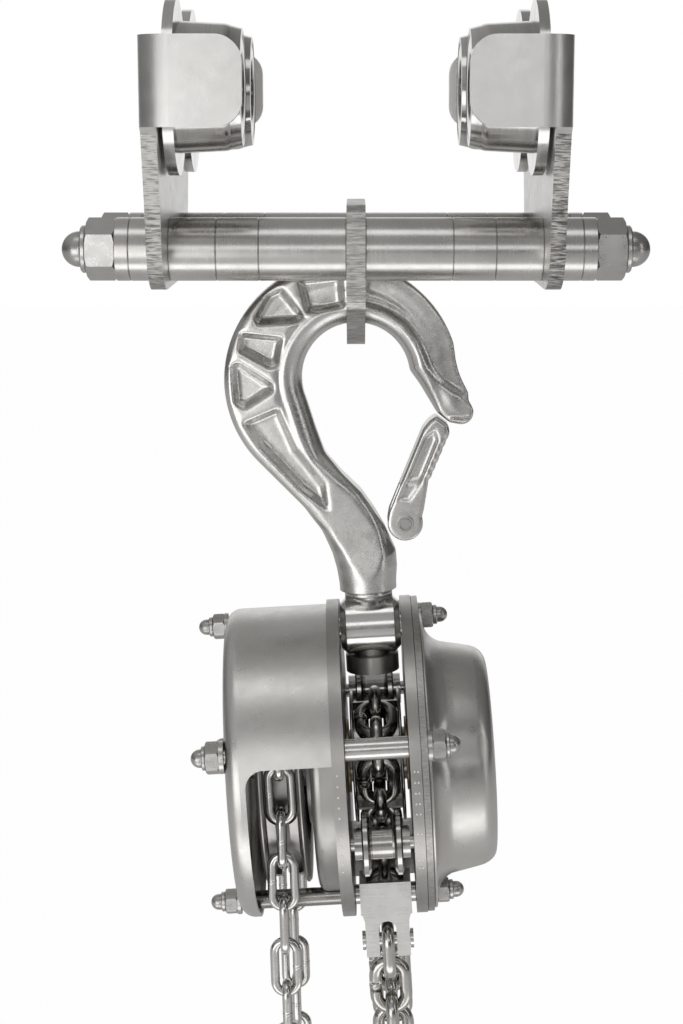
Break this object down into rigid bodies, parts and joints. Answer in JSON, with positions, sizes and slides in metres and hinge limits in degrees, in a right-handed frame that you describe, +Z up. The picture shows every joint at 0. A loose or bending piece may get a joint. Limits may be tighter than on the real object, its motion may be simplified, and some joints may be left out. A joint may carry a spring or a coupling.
{
  "type": "chain hoist with trolley",
  "caption": "Hand chain hoist hung by a latched swivel hook from a push trolley that rolls on a beam's lower flange; gear train, screw brake and chain wheels work.",
  "frame": {"origin": "top face of the beam's lower flange at the middle of the trolley, where the wheel treads rest", "axes": "+X across the beam towards the gear cover, +Y along the beam away from the viewer, +Z up"},
  "size_m": [0.3136, 0.24, 0.7951],
  "materials": {
    "satin": "satin, bead-blasted stainless",
    "bright": "turned and polished stainless",
    "dark": "darker polished steel",
    "bronze": "bearing bronze",
    "lining": "friction lining"
  },
  "bodies": {
    "trolley": {"side_plate_left": "satin", "side_plate_right": "satin", "tie_rods": "satin", "tie_rod_nuts": "bright", "spacer_sleeves": "bright", "suspension_plate": "satin", "wheel_axles": "dark"},
    "wheel_fl": {"wheel_front_left": "bright"},
    "wheel_fr": {"wheel_front_right": "bright"},
    "wheel_rl": {"wheel_rear_left": "bright"},
    "wheel_rr": {"wheel_rear_right": "bright"},
    "top_hook_body": {"top_hook": "satin", "hook_nut": "dark", "top_latch_pin": "bright", "top_latch_spring": "dark"},
    "top_latch_body": {"top_latch": "satin"},
    "crosshead_body": {"crosshead": "bright"},
    "hoist_body": {"frame_plate_left": "satin", "frame_plate_right": "satin", "gear_plate": "satin", "stay_studs": "bright", "gap_tubes": "bright", "cover_tubes": "dark", "lock_nuts_left": "bright", "lock_nuts_right": "bright", "sheave_bushes": "bronze", "handwheel_cover": "satin", "brake_pan": "bright", "gear_cover": "satin", "chain_stripper": "dark", "anchor_bracket": "satin", "anchor_pin": "bright", "guide_pins": "bright", "ratchet_wheel": "dark", "pawl_pin": "bright", "pawl_spring": "dark", "load_chain": "dark", "hand_chain": "satin", "hook_block": "satin", "block_pin": "bright"},
    "roller_front": {"guide_roller_front": "dark"},
    "roller_rear": {"guide_roller_rear": "dark"},
    "sheave_body": {"load_sheave": "dark", "load_gear": "dark"},
    "idler_front": {"idler_gear_front": "dark"},
    "idler_rear": {"idler_gear_rear": "dark"},
    "drive_body": {"drive_shaft": "bright", "hand_wheel": "satin", "brake_hub": "satin", "brake_linings": "lining", "castle_nut": "bright"},
    "pawl_body": {"pawl": "dark"},
    "bottom_hook_body": {"bottom_hook": "satin", "bottom_hook_nut": "dark", "bottom_latch_pin": "bright", "bottom_latch_spring": "dark"},
    "bottom_latch_body": {"bottom_latch": "satin"}
  },
  "joints": [
    {"name": "wheel_front_left_spin", "type": "hinge", "parent": "trolley", "child": "wheel_fl", "pos_m": [-0.075, -0.05, 0.033], "axis": [1, 0, 0], "continuous": true},
    {"name": "wheel_front_right_spin", "type": "hinge", "parent": "trolley", "child": "wheel_fr", "pos_m": [0.075, -0.05, 0.033], "axis": [1, 0, 0], "continuous": true},
    {"name": "wheel_rear_left_spin", "type": "hinge", "parent": "trolley", "child": "wheel_rl", "pos_m": [-0.075, 0.05, 0.033], "axis": [1, 0, 0], "continuous": true},
    {"name": "wheel_rear_right_spin", "type": "hinge", "parent": "trolley", "child": "wheel_rr", "pos_m": [0.075, 0.05, 0.033], "axis": [1, 0, 0], "continuous": true},
    {"name": "hook_swing", "type": "hinge", "parent": "trolley", "child": "top_hook_body", "pos_m": [0, 0, -0.123], "axis": [0, 1, 0], "range_deg": [-25, 25]},
    {"name": "top_latch_hinge", "type": "hinge", "parent": "top_hook_body", "child": "top_latch_body", "pos_m": [0.02755, 0, -0.20475], "axis": [0, -1, 0], "range_deg": [0, 35], "stiffness_Nm_per_rad": 0.06, "springref_deg": -20.05, "deforming": ["top_latch_spring"]},
    {"name": "hook_swivel", "type": "hinge", "parent": "top_hook_body", "child": "crosshead_body", "pos_m": [0.00817, 0, -0.26476], "axis": [-0.0576, 0, 0.9983], "continuous": true},
    {"name": "hoist_tilt", "type": "hinge", "parent": "crosshead_body", "child": "hoist_body", "pos_m": [0.00817, 0, -0.26476], "axis": [0.9983, 0, 0.0576], "range_deg": [-20, 20]},
    {"name": "front_roller_spin", "type": "hinge", "parent": "hoist_body", "child": "roller_front", "pos_m": [0.01465, -0.05, -0.37708], "axis": [0.9983, 0, 0.0576], "continuous": true},
    {"name": "rear_roller_spin", "type": "hinge", "parent": "hoist_body", "child": "roller_rear", "pos_m": [0.01128, 0.057, -0.31867], "axis": [0.9983, 0, 0.0576], "continuous": true},
    {"name": "sheave_turn", "type": "hinge", "parent": "hoist_body", "child": "sheave_body", "pos_m": [0.01261, 0, -0.34164], "axis": [0.9983, 0, 0.0576], "continuous": true, "deforming": ["load_chain"]},
    {"name": "idler_front_spin", "type": "hinge", "parent": "hoist_body", "child": "idler_front", "pos_m": [0.05254, -0.03125, -0.33933], "axis": [0.9983, 0, 0.0576], "continuous": true},
    {"name": "idler_rear_spin", "type": "hinge", "parent": "hoist_body", "child": "idler_rear", "pos_m": [0.05254, 0.03125, -0.33933], "axis": [0.9983, 0, 0.0576], "continuous": true},
    {"name": "drive_turn", "type": "hinge", "parent": "hoist_body", "child": "drive_body", "pos_m": [-0.02733, 0, -0.34394], "axis": [0.9983, 0, 0.0576], "continuous": true, "deforming": ["hand_chain"]},
    {"name": "pawl_lift", "type": "hinge", "parent": "hoist_body", "child": "pawl_body", "pos_m": [-0.02329, 0.0145, -0.28541], "axis": [-0.9983, 0, -0.0576], "range_deg": [0, 12], "stiffness_Nm_per_rad": 0.02, "springref_deg": -17.19, "deforming": ["pawl_spring"]},
    {"name": "bottom_swivel", "type": "hinge", "parent": "hoist_body", "child": "bottom_hook_body", "pos_m": [0.02771, 0.02709, -0.60355], "axis": [-0.0576, 0, 0.9983], "continuous": true},
    {"name": "bottom_latch_hinge", "type": "hinge", "parent": "bottom_hook_body", "child": "bottom_latch_body", "pos_m": [0.01553, 0.02709, -0.62997], "axis": [0, -1, 0], "range_deg": [0, 35], "stiffness_Nm_per_rad": 0.02, "springref_deg": -20.05, "deforming": ["bottom_latch_spring"]}
  ],
  "couplings": [
    {"joint": "idler_front_spin", "follows": "sheave_turn", "ratio": -4},
    {"joint": "idler_rear_spin", "follows": "sheave_turn", "ratio": -4},
    {"joint": "drive_turn", "follows": "sheave_turn", "ratio": 16}
  ]
}
